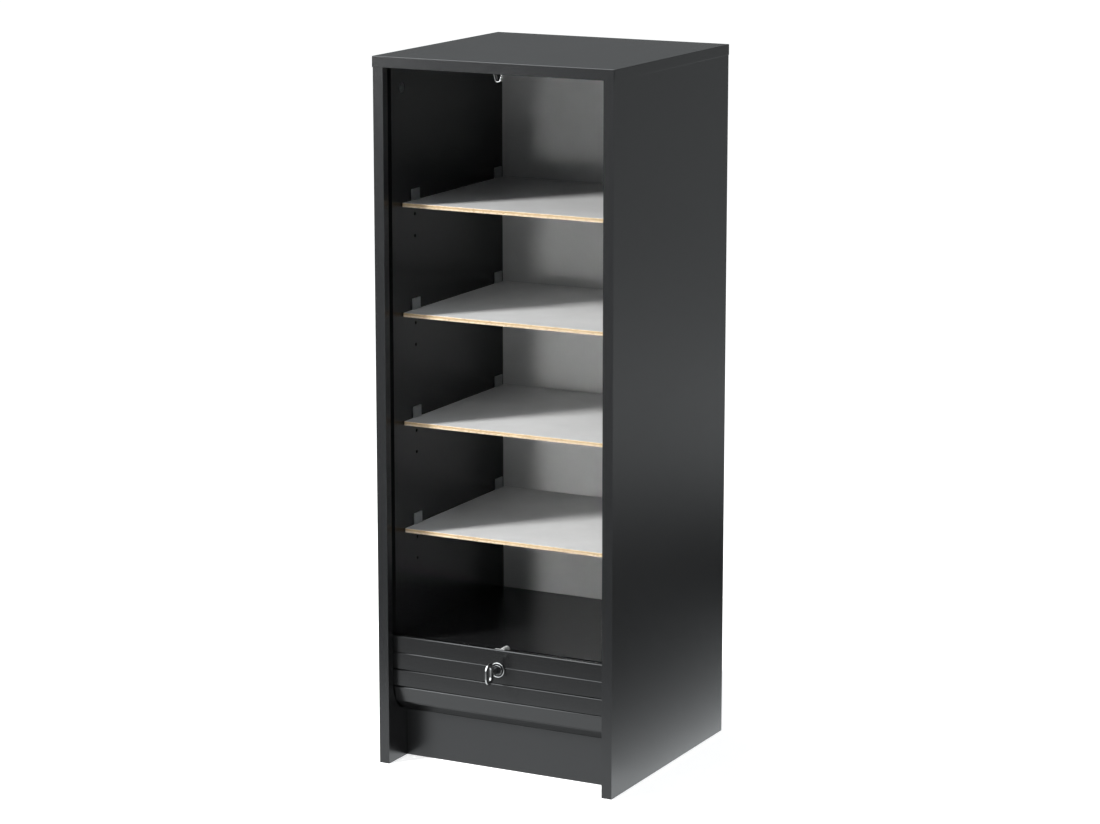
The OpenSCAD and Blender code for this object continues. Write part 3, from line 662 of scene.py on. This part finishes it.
@dataclass
class Shelves:
    """The loose shelves and their clips."""

    count: int = 4
    edge: float = 0.25 * MM
    notch_corner: float = 0.5 * MM
    clip_edge: float = 0.35 * MM
    notch_depth: float = 3.0 * MM
    notch_half: float = 11.0 * MM
    gap: float = 1.2 * MM
    pin_rows: tuple[float, float] = (0.089, 0.017)

    def outline(self, low: np.ndarray, high: np.ndarray) -> np.ndarray:
        """Draws a shelf's outline with a notch for each clip.

        Args:
            low: the shelf's lowest corner.
            high: its highest corner.

        Returns:
            The outline in X and Y, counter-clockwise.
        """
        front_edges = span("left_side")[0][1]
        inner_back = span("inner_back")[0][1]
        pins = (front_edges + self.pin_rows[0], inner_back - self.pin_rows[1])
        bottom = high[0] + self.gap - self.notch_depth
        right = [[high[0], low[1]]]
        for y in pins:
            right += [[high[0], y - self.notch_half], [bottom, y - self.notch_half],
                      [bottom, y + self.notch_half], [high[0], y + self.notch_half]]
        right.append([high[0], high[1]])
        side = np.array(right)
        return np.concatenate([side, (side * (-1, 1))[::-1]])

    def build(self, shop: Shop) -> None:
        """Builds and dresses the shelves and the clips."""
        for number in range(1, self.count + 1):
            node = f"shelf_{number}"
            low, high = span(node)
            outline = rounded(self.outline(low, high), self.notch_corner, 3)
            mesh = skin(node, [eased_slab(outline, low[2], high[2], self.edge, steps=3)])
            shop.dress(mesh, "pale_board", "raw_edge")
            self.mark_edges(mesh, low[2], high[2])
            piece(f"{node}_board", mesh, "root", node)
        clips = eased_copy("shelf_clips", self.clip_edge)
        shop.dress(clips, "clip")
        piece("shelf_clips_moulded", clips, "root", "shelf_clips")

    def mark_edges(self, mesh: bpy.types.Mesh, low: float, high: float) -> None:
        """Gives the sawn edges their own slot, and each point its share of the thickness.

        A face is an edge where its normal lies nearer the level plane than 45 degrees.

        Args:
            mesh: the shelf's mesh.
            low: the height of its lower face.
            high: the height of its upper face.
        """
        points = np.empty(3 * len(mesh.vertices))
        mesh.vertices.foreach_get("co", points)
        share = (points[2::3] - low) / (high - low)
        height = mesh.attributes.new("edge_height", "FLOAT", "POINT")
        height.data.foreach_set("value", share.astype(np.float32))
        normals = np.empty(3 * len(mesh.polygons))
        mesh.polygons.foreach_get("normal", normals)
        sawn = np.abs(normals[2::3]) < math.sqrt(0.5)
        mesh.polygons.foreach_set("material_index", sawn.astype(np.int32))


@dataclass
class Curtain:
    """The lead bar and its slats, and the run of slats that shows once the curtain is up."""

    edge: float = 0.3 * MM
    sharp: float = 28.0
    bevel: float = 1.1 * MM
    line_depth: float = 0.95 * MM
    recess: float = 0.2 * MM
    wall: float = 0.9 * MM
    clear: tuple[float, float] = (0.1 * MM, 6.0 * MM)
    slats_shown: int = 33

    def build(self, shop: Shop) -> None:
        """Builds and dresses the curtain."""
        bodies = {"lead_bar": "tambour", "slat_01": "tambour"}
        for node in [n for n in frame["nodes"] if n.startswith("slat_")] + ["lead_bar", "tail_slats"]:
            mesh = eased_copy(node, self.edge, sharp=self.sharp)
            shop.dress(mesh, "curtain")
            piece(f"{node}_extruded", mesh, bodies.get(node, "root"), node)
        self.raised_run(shop)

    def raised_run(self, shop: Shop) -> None:
        """Makes the slats between the first one and the bend, which show as the curtain rises.

        At rest the run is folded into the front wall of the first slat, clear of its ends. A
        point at height low + L t travels a share 3 t^2 - 2 t^3 of the curtain's way T, so that in
        the end it stands at low + L t + T (3 t^2 - 2 t^3). That rises all the way, so it is
        turned round to find t for each height that the finished run needs.

        Args:
            shop: where the finishes are made.
        """
        low, high = span("slat_01")
        travel = max(j["range_m"][1] for j in frame["joints"] if j["name"] == "tambour_slide")
        bottom, top = low[2] + self.clear[0], high[2] - self.clear[1]
        pitch = travel / self.slats_shown
        front = low[1] + self.recess
        joint = np.arange(self.slats_shown + 1) * pitch
        # Heights and depths from one joint to the next: the line, the face, and the bevel.
        line = np.array([[0.0, self.line_depth], [0.35 * MM, self.line_depth],
                         [0.8 * MM, 0.0], [pitch - self.bevel - 0.7 * MM, 0.0],
                         [pitch - 0.75 * MM, self.line_depth - 0.1 * MM],
                         [pitch - 0.05 * MM, self.line_depth]])
        heights = (bottom + joint[:, None] + line[None, :, 0]).ravel()
        depths = np.tile(line[:, 1], len(joint))
        share = np.linspace(0, 1, 20001)
        reach = bottom + (top - bottom) * share + travel * (3 * share**2 - 2 * share**3)
        kept = heights < reach[-1]
        t = np.interp(heights[kept], reach, share)
        z = bottom + (top - bottom) * t
        y = front + depths[kept]
        back = np.full_like(y, front + self.line_depth + self.wall * 0.3)
        section = np.stack([np.stack([y, z], axis=1), np.stack([back, z], axis=1)], axis=1)
        half = high[0]
        rows = np.array([[-half, 0], [half, 0], [half, 1], [-half, 1]])
        points = np.empty((len(z), 4, 3))
        points[:, :, 0] = rows[:, 0]
        points[:, :, 1:] = section[:, rows[:, 1].astype(int)]
        mesh = skin("raised_slats", [points])
        shop.dress(mesh, "curtain")
        mesh.shade_smooth()
        mesh.set_sharp_from_angle(angle=math.radians(10))
        run = bpy.data.objects.new("raised_slats", mesh)
        bpy.context.scene.collection.objects.link(run)
        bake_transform(run)
        LOG.info("raised_slats: %d rows", len(z))


@dataclass
class Lock:
    """The lock in the lead bar with its key."""

    rosette_out: float = 11.25 * MM
    rosette_t: float = 3.0 * MM
    rim: float = 1.1 * MM
    ring_in: float = 7.3 * MM
    ring_out: float = 9.7 * MM
    ring_sink: float = 0.6 * MM
    core_r: float = 6.6 * MM
    shell_r: float = 9.4 * MM
    lip: float = 0.2 * MM
    slope: float = 0.15 * MM
    segments: int = 96
    fine_edge: float = 0.15 * MM
    key_edge: float = 0.35 * MM

    def front(self) -> np.ndarray:
        """Gives the middle of the flange's front."""
        low, high = span("lock_barrel")
        return np.array([0.0, low[1], (low[2] + high[2]) / 2])

    def rosette(self) -> bpy.types.Mesh:
        """Turns the barrel with its flange: a rim, a sunk ring, and a lip round the bore."""
        centre = self.front()
        length = span("lock_barrel")[1][1] - centre[1]
        turn = np.linspace(0, np.pi / 2, 7)
        rounding = np.stack([self.rosette_out - self.rim * (1 - np.sin(turn)),
                             self.rim * (1 - np.cos(turn))], axis=1)
        ramp = self.ring_sink * np.array([0.0, 0.12, 0.5, 1.0])
        step = self.slope * np.arange(4)
        inner = np.stack([self.ring_in - step[::-1], ramp], axis=1)
        outer = np.stack([self.ring_out + step, ramp[::-1]], axis=1)
        profile = np.concatenate([
            [[self.core_r, length], [self.core_r, self.ring_sink],
             [self.core_r + self.lip, self.slope], [self.core_r + 1.1 * self.lip, 0.0]],
            inner, outer, rounding,
            [[self.rosette_out, self.rosette_t], [self.shell_r, self.rosette_t],
             [self.shell_r, length]]])
        return skin("lock_barrel", [turned(profile, centre, segments=self.segments)], ring=True)

    def sunk(self, mesh: bpy.types.Mesh) -> np.ndarray:
        """Marks the faces of the sunk ring.

        A face belongs to it where its middle lies between the ring's two radii and in the
        front half of the flange.

        Args:
            mesh: the rosette's mesh.

        Returns:
            1 for each face of the ring, and 0 for the others.
        """
        middle = np.empty(3 * len(mesh.polygons))
        mesh.polygons.foreach_get("center", middle)
        x, depth, z = (middle.reshape(-1, 3) - self.front()).T
        away = np.hypot(x, z)
        ring = (away > self.ring_in) & (away < self.ring_out) & (depth < self.rosette_t / 2)
        return ring.astype(np.int32)

    def build(self, shop: Shop) -> None:
        """Builds and dresses the lock's parts and the key."""
        rosette = self.rosette()
        # The rosette takes the darker nickel copy (painted shade), with black nickel in its sunk
        # ring.
        shop.dress(rosette, "painted_shade_nickel", "dark_nickel")
        rosette.polygons.foreach_set("material_index", self.sunk(rosette))
        piece("lock_rosette", rosette, "tambour", "lock_barrel")
        # The key takes the darker nickel copy, painted shade; the case and cover take the paled zinc,
        # a painted highlight.
        parts = {"lock_core": ("lock_core", "dark_nickel", "chrome", self.fine_edge),
                 "lock_bolt": ("lock_bolt", "zinc", "zinc", self.fine_edge),
                 "lock_case": ("tambour", "case", "zinc", self.fine_edge * 2),
                 "lock_cover": ("tambour", "case", "zinc", self.fine_edge * 2),
                 "key": ("key", "painted_shade_nickel", "chrome", self.key_edge)}
        for node, (body, finish, slot, edge) in parts.items():
            mesh = eased_copy(node, edge, segments=3)
            shop.dress(mesh, finish)
            piece(f"{node}_finished", mesh, body, node)


@dataclass
class Strike:
    """The strap under the top that the bolt runs through."""

    corner: float = 0.5 * MM
    strap_t: float = 1.3 * MM
    foot_r: float = 4.8 * MM

    def path(self, low: np.ndarray, high: np.ndarray, ceiling: float) -> np.ndarray:
        """Draws the strap's middle line: a leg down, the foot's arc, and the other leg up.

        Args:
            low: the strap's lowest corner.
            high: its highest corner.
            ceiling: the height of the top's lower face.

        Returns:
            The line's points.
        """
        middle_y = (low[1] + high[1]) / 2
        half = (high[0] - low[0]) / 2
        radius = self.foot_r - self.strap_t / 2
        foot_z = low[2] + self.foot_r
        rise = ceiling - foot_z
        lean = math.atan2(half, rise) - math.asin(self.foot_r / math.hypot(half, rise))
        leg_x = half - self.strap_t / math.cos(lean) / 2
        angle = np.linspace(np.pi + lean, 2 * np.pi - lean, 41)
        arc = np.stack([radius * np.cos(angle), foot_z + radius * np.sin(angle)], axis=1)
        down = np.linspace([-leg_x, high[2]], [-leg_x, ceiling], 4)
        lean_in = np.linspace([-leg_x, ceiling], arc[0], 6)[1:-1]
        left = np.concatenate([down, lean_in])
        line = np.concatenate([left, arc, (left * (-1, 1))[::-1]])
        return np.stack([line[:, 0], np.full(len(line), middle_y), line[:, 1]], axis=1)

    def build(self, shop: Shop) -> None:
        """Sweeps and dresses the strap."""
        low, high = span("strike")
        ceiling = span("top_panel")[0][2]
        half = np.array([self.strap_t, high[1] - low[1]]) / 2
        section = rectangle(-half, half, self.corner)
        mesh = skin("strike", [swept(self.path(low, high, ceiling), section)])
        # The lighter nickel copy: its paleness paints the strap's highlight.
        shop.dress(mesh, "nickel")
        piece("strike_strap", mesh, "root", "strike")


@dataclass
class Fittings:
    """The screws, cams, bolts and dowels that hold the boards together."""

    back_head: tuple[float, float] = (3.0 * MM, 1.6 * MM)
    lock_head: tuple[float, float] = (2.8 * MM, 1.5 * MM)
    cross_arm: float = 0.42 * MM
    rings: int = 12
    segments: int = 40
    cam_edge: float = 0.25 * MM
    head_room: float = 8 * MM
    seat_play: float = 0.05 * MM
    head_cross: float = 0.62

    def head(self, centre: np.ndarray, radius: float, height: float) -> np.ndarray:
        """Draws a screw's domed head, with a cross pressed into it, on a grid of rings.

        At distance r from the middle the head stands height * sqrt(1 - 0.75 (r / radius)^2)
        high. Inside head_cross * radius, where the smaller of |x| and |z| is under the arm's half
        width, it is sunk by 0.55 of its height.

        Args:
            centre: the middle of the head's seat.
            radius: the head's radius.
            height: how far it stands off its seat, along +Y.

        Returns:
            A grid of points, one row for each ring.
        """
        r = radius * np.linspace(1, 0.03, self.rings)[:, None]
        angle = (np.arange(self.segments) * 2 * np.pi / self.segments)[None]
        z, x = r * np.cos(angle), r * np.sin(angle)
        rise = height * np.sqrt(1 - 0.75 * (r / radius) ** 2) + 0 * angle
        sunk = (np.minimum(np.abs(x), np.abs(z)) < self.cross_arm) & (r < self.head_cross * radius)
        rise = rise - 0.55 * height * sunk
        dome = np.stack([x, rise, z], axis=2)
        seat = dome[:1] * (1, 0, 1)
        return np.concatenate([seat, dome]) + centre

    def screws(self, node: str, heads: list[np.ndarray], size: tuple[float, float],
               shaft: float, shaft_r: float) -> bpy.types.Mesh:
        """Draws a set of screws, each with its shaft.

        Args:
            node: the CAD node that they replace.
            heads: the middle of each head's seat.
            size: the heads' radius and height.
            shaft: how far the shafts reach in front of the seats.
            shaft_r: the shafts' radius.

        Returns:
            One mesh with every screw.
        """
        tip = np.array([[0.15, 0.0], [1.0, 1.6 * shaft_r], [1.0, shaft]]) * (shaft_r, 1)
        grids = [self.head(seat, *size) for seat in heads]
        grids += [turned(tip, seat - (0, shaft, 0), segments=24) for seat in heads]
        return skin(node, grids)

    def seats(self, node: str, height: float) -> list[np.ndarray]:
        """Finds the seats of a node's screw heads from its separate solids.

        Args:
            node: the CAD node.
            height: how far the heads stand off their seats.

        Returns:
            The middle of each seat.
        """
        shape = joined(node)
        points = np.array([v.co for v in shape.verts])
        shape.free()
        rear = points[points[:, 1] > points[:, 1].max() - self.seat_play]
        places: list[np.ndarray] = []
        for x, y, z in rear:
            if all(math.hypot(x - p[0], z - p[2]) > self.head_room for p in places):
                near = rear[np.hypot(rear[:, 0] - x, rear[:, 2] - z) < self.head_room]
                places.append((near.min(axis=0) + near.max(axis=0)) / 2 - (0, height, 0))
        return places

    def build(self, shop: Shop) -> None:
        """Builds and dresses every fitting."""
        for node, body, size, radius in (
                ("back_screws", "root", self.back_head, 1.5 * MM),
                ("lock_screws", "tambour", self.lock_head, 1.4 * MM)):
            low, high = span(node)
            shaft = high[1] - low[1] - size[1]
            mesh = self.screws(node, self.seats(node, size[1]), size, shaft, radius)
            shop.dress(mesh, "plated_steel")
            piece(f"{node}_turned", mesh, body, node)
        cams = eased_copy("cam_fittings", self.cam_edge)
        shop.dress(cams, "cam")
        piece("cams_cast", cams, "root", "cam_fittings")
        for node, finish in (("cam_bolts", "plated_steel"), ("dowels", "beech")):
            shop.dress(frame["nodes"][node].data, finish)
            LOG.info("%s: CAD shape in %s", node, finish)


# Studio


@dataclass(frozen=True)
class Lamp:
    """A soft square lamp: its place, the point it faces, its width, its watts and its beam."""

    name: str
    place: Colour
    aim: Colour
    width: float
    power: float
    beam: float = math.pi
    mirrored: bool = False

    def hang(self) -> None:
        """Hangs the lamp, which shows in glossy surfaces only where it is mirrored."""
        data = bpy.data.lights.new(self.name, "AREA")
        data.shape, data.size, data.spread = "SQUARE", self.width, self.beam
        data.energy = self.power
        lamp = bpy.data.objects.new(self.name, data)
        lamp.visible_glossy = self.mirrored
        lamp.location = self.place
        lamp.rotation_mode = "QUATERNION"
        way = Vector(self.aim) - Vector(self.place)
        lamp.rotation_quaternion = way.to_track_quat("-Z", "Y")
        bpy.context.scene.collection.objects.link(lamp)


LAMPS = (Lamp("Key lamp", (-2.35, -2.65, 2.3), (0.0, 0.0, 0.5), 0.6, 250.0),
         Lamp("Low front lamp", (-0.72, -3.5, 0.45), (0.0, 0.18, 0.35), 0.35, 0.7, 0.5),
         Lamp("Side lamp", (-1.69, -2.2, 0.98), (0.0, 0.0, 0.9), 0.3, 5.0, mirrored=True))


@dataclass
class Studio:
    """The floor, the surroundings and the camera."""

    floor_size: float = 60.0
    floor_colour: Colour = (0.86, 0.86, 0.86)
    # The floor's painted reflection: a painted pool of light beside the cabinet and the levels around
    # it, seen only by glossy rays.
    painted_pool_middle: Colour = (0.0, 0.16, 0.0)
    painted_pool_half: Colour = (0.19, 0.59, 0.0)
    glow_near: float = 2.0
    glow_fade: float = 0.093
    front_near: float = 1.75
    front_fade: float = 0.22
    front_from: tuple[float, float] = (0.0, -0.15)
    glow_levels: Colour = (0.09, 0.72, 0.42)
    glow_reach: Colour = (0.6, 1.65, 3.4)
    lift: float = 0.80
    sky: tuple[float, float] = (0.16, 0.70)
    sky_top: float = 0.8
    # Painted reflections: a cap overhead and a patch to the front left that only glossy rays see.
    painted_overhead: float = 5.2
    overhead_rise: tuple[float, float] = (0.55, 0.85)
    painted_left_glow: float = 5.2
    left_way: Colour = (-0.60, -0.68, 0.42)
    left_edge: tuple[float, float] = (0.85, 0.97)
    matt_share: float = 0.5
    tint: Colour = (0.94, 0.98, 1.0)
    camera_place: Colour = (2.2898, -4.4186, 1.5711)
    turn: float = -0.4781
    dip: float = 0.2097
    focal_pixels: float = 3484.9
    picture_width: float = 1100.0
    sensor: float = 36.0

    def camera(self) -> None:
        """Sets the camera at the photograph's viewing angle.

        Its direction is (sin turn cos dip, cos turn cos dip, -sin dip), and its lens is as many
        sensor widths long as the focal length is picture widths.
        """
        data = bpy.data.cameras.new("View")
        data.sensor_width = self.sensor
        data.lens = self.focal_pixels / self.picture_width * self.sensor
        view = bpy.data.objects.new("View", data)
        ahead = Vector((math.sin(self.turn) * math.cos(self.dip),
                        math.cos(self.turn) * math.cos(self.dip), -math.sin(self.dip)))
        view.location = self.camera_place
        view.rotation_mode = "QUATERNION"
        view.rotation_quaternion = ahead.to_track_quat("-Z", "Y")
        bpy.context.scene.collection.objects.link(view)
        bpy.context.scene.camera = view

    def glow(self, sheet: Sheet) -> Socket:
        """Gives how bright the floor shows in a glossy surface, as a painted reflection.

        With d the distance from the painted pool of light beside the cabinet it is near * exp(-d /
        fade), and before the cabinet, where d is taken along Y alone, it fades more slowly. To that
        come the painted levels of the darker ring, the far floor and the horizon, with smooth changes
        between them.

        Args:
            sheet: the floor material's sheet.

        Returns:
            The brightness.
        """
        place = sheet.add("ShaderNodeTexCoord").outputs["Object"]
        ahead = sheet.add("ShaderNodeSeparateXYZ", Vector=place).outputs["Y"]
        front_edge = self.painted_pool_middle[1] - self.painted_pool_half[1]
        before = sheet.maths("MAXIMUM", sheet.sum(ahead, -1.0, front_edge), 0.0)
        beside = sheet.vectors("ABSOLUTE", sheet.vectors("SUBTRACT", place, self.painted_pool_middle))
        beside = sheet.vectors("MAXIMUM", sheet.vectors("SUBTRACT", beside, self.painted_pool_half))
        away = sheet.vectors("LENGTH", beside)
        fall = sheet.maths("EXPONENT", sheet.sum(away, -1 / self.glow_fade, 0.0))
        front = sheet.maths("EXPONENT", sheet.sum(before, -1 / self.front_fade, 0.0))
        near = sheet.add("ShaderNodeMix", i0=sheet.ramp(ahead, *self.front_from),
                         i2=sheet.sum(fall, self.glow_near, 0.0),
                         i3=sheet.sum(front, self.front_near, 0.0)).outputs[0]
        ring, far, horizon = self.glow_levels
        first, second, last = self.glow_reach
        further = sheet.sum(sheet.ramp(away, first, second), far - ring, ring)
        further = sheet.sum(sheet.ramp(away, second, last), horizon - far, further)
        return sheet.sum(near, 1.0, further)

    def floor(self) -> None:
        """Lays a pale floor that keeps the cabinet's shadow; in glossy surfaces it shows a painted
        reflection instead, brightest beside the cabinet.
        """
        half = self.floor_size / 2
        mesh = bpy.data.meshes.new("Floor")
        mesh.from_pydata([(-half, -half, 0), (half, -half, 0), (half, half, 0), (-half, half, 0)],
                         [], [(0, 1, 2, 3)])
        material = bpy.data.materials.new("Studio floor")
        material.use_nodes = True
        sheet = Sheet(material.node_tree)
        sheet.tree.nodes.clear()
        pale = sheet.add("ShaderNodeBsdfDiffuse", Color=(*self.floor_colour, 1.0))
        path = sheet.add("ShaderNodeLightPath")
        lift = sheet.add("ShaderNodeEmission", Color=(1.0, 1.0, 1.0, 1.0),
                         Strength=sheet.sum(path.outputs["Is Camera Ray"], self.lift, 0.0))
        both = sheet.add("ShaderNodeAddShader", i0=pale.outputs[0], i1=lift.outputs[0])
        # Glossy rays see this painted reflection in place of the floor's lit colour.
        painted_reflection = sheet.add("ShaderNodeEmission", Color=(*self.tint, 1.0), Strength=self.glow(sheet))
        shown = sheet.add("ShaderNodeMixShader", i0=path.outputs["Is Glossy Ray"],
                          i1=both.outputs[0], i2=painted_reflection.outputs[0])
        sheet.add("ShaderNodeOutputMaterial", Surface=shown.outputs[0])
        mesh.materials.append(material)
        floor = bpy.data.objects.new("Floor", mesh)
        bpy.context.scene.collection.objects.link(floor)

    def surroundings(self) -> None:
        """Fills the surroundings with soft light from above, and shows them white.

        Glossy rays see them brighter than the light they give, with a cap overhead and a patch to the
        front left added: painted reflections that light nothing.
        """
        world = bpy.data.worlds.new("Studio")
        bpy.context.scene.world = world
        world.use_nodes = True
        sheet = Sheet(world.node_tree)
        sheet.tree.nodes.clear()
        path = sheet.add("ShaderNodeLightPath")
        seen = sheet.maths("MAXIMUM", path.outputs["Is Camera Ray"],
                           path.outputs["Is Transmission Ray"])
        way = sheet.add("ShaderNodeTexCoord").outputs["Generated"]
        rise = sheet.add("ShaderNodeSeparateXYZ", Vector=way).outputs["Z"]
        low, high = self.sky
        level = sheet.sum(sheet.ramp(rise, 0.0, self.sky_top), high - low, low)
        # Glossy rays see the sky at its full level and other rays at matt_share of it; the extra is
        # painted reflection.
        share = sheet.sum(path.outputs["Is Glossy Ray"], 1 - self.matt_share, self.matt_share)
        left = sheet.vectors("DOT_PRODUCT", way, Vector(self.left_way).normalized())
        painted_softboxes = sheet.sum(sheet.ramp(rise, *self.overhead_rise), self.painted_overhead,
                          sheet.sum(sheet.ramp(left, *self.left_edge), self.painted_left_glow, 0.0))
        painted_reflection = sheet.sum(painted_softboxes, path.outputs["Is Glossy Ray"], 0.0)
        light = sheet.add("ShaderNodeBackground", Color=(*self.tint, 1.0),
                          Strength=sheet.sum(level, share, painted_reflection))
        white = sheet.add("ShaderNodeBackground", Color=(1.0, 1.0, 1.0, 1.0), Strength=1.0)
        shown = sheet.add("ShaderNodeMixShader", i0=seen, i1=light.outputs[0],
                          i2=white.outputs[0])
        sheet.add("ShaderNodeOutputWorld", Surface=shown.outputs[0])

    def build(self) -> None:
        """Sets up the whole studio."""
        bpy.context.scene.view_settings.view_transform = "Standard"
        self.floor()
        self.surroundings()
        for lamp in LAMPS:
            lamp.hang()
        self.camera()


def main() -> None:
    """Builds the cabinet, then its studio."""
    logging.basicConfig(level=logging.INFO, format="%(message)s")
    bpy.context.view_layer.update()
    shop = Shop()
    for part in (Carcass(), Shelves(), Curtain(), Lock(), Strike(), Fittings()):
        part.build(shop)
    Studio().build()


if __name__ == "__main__":
    main()
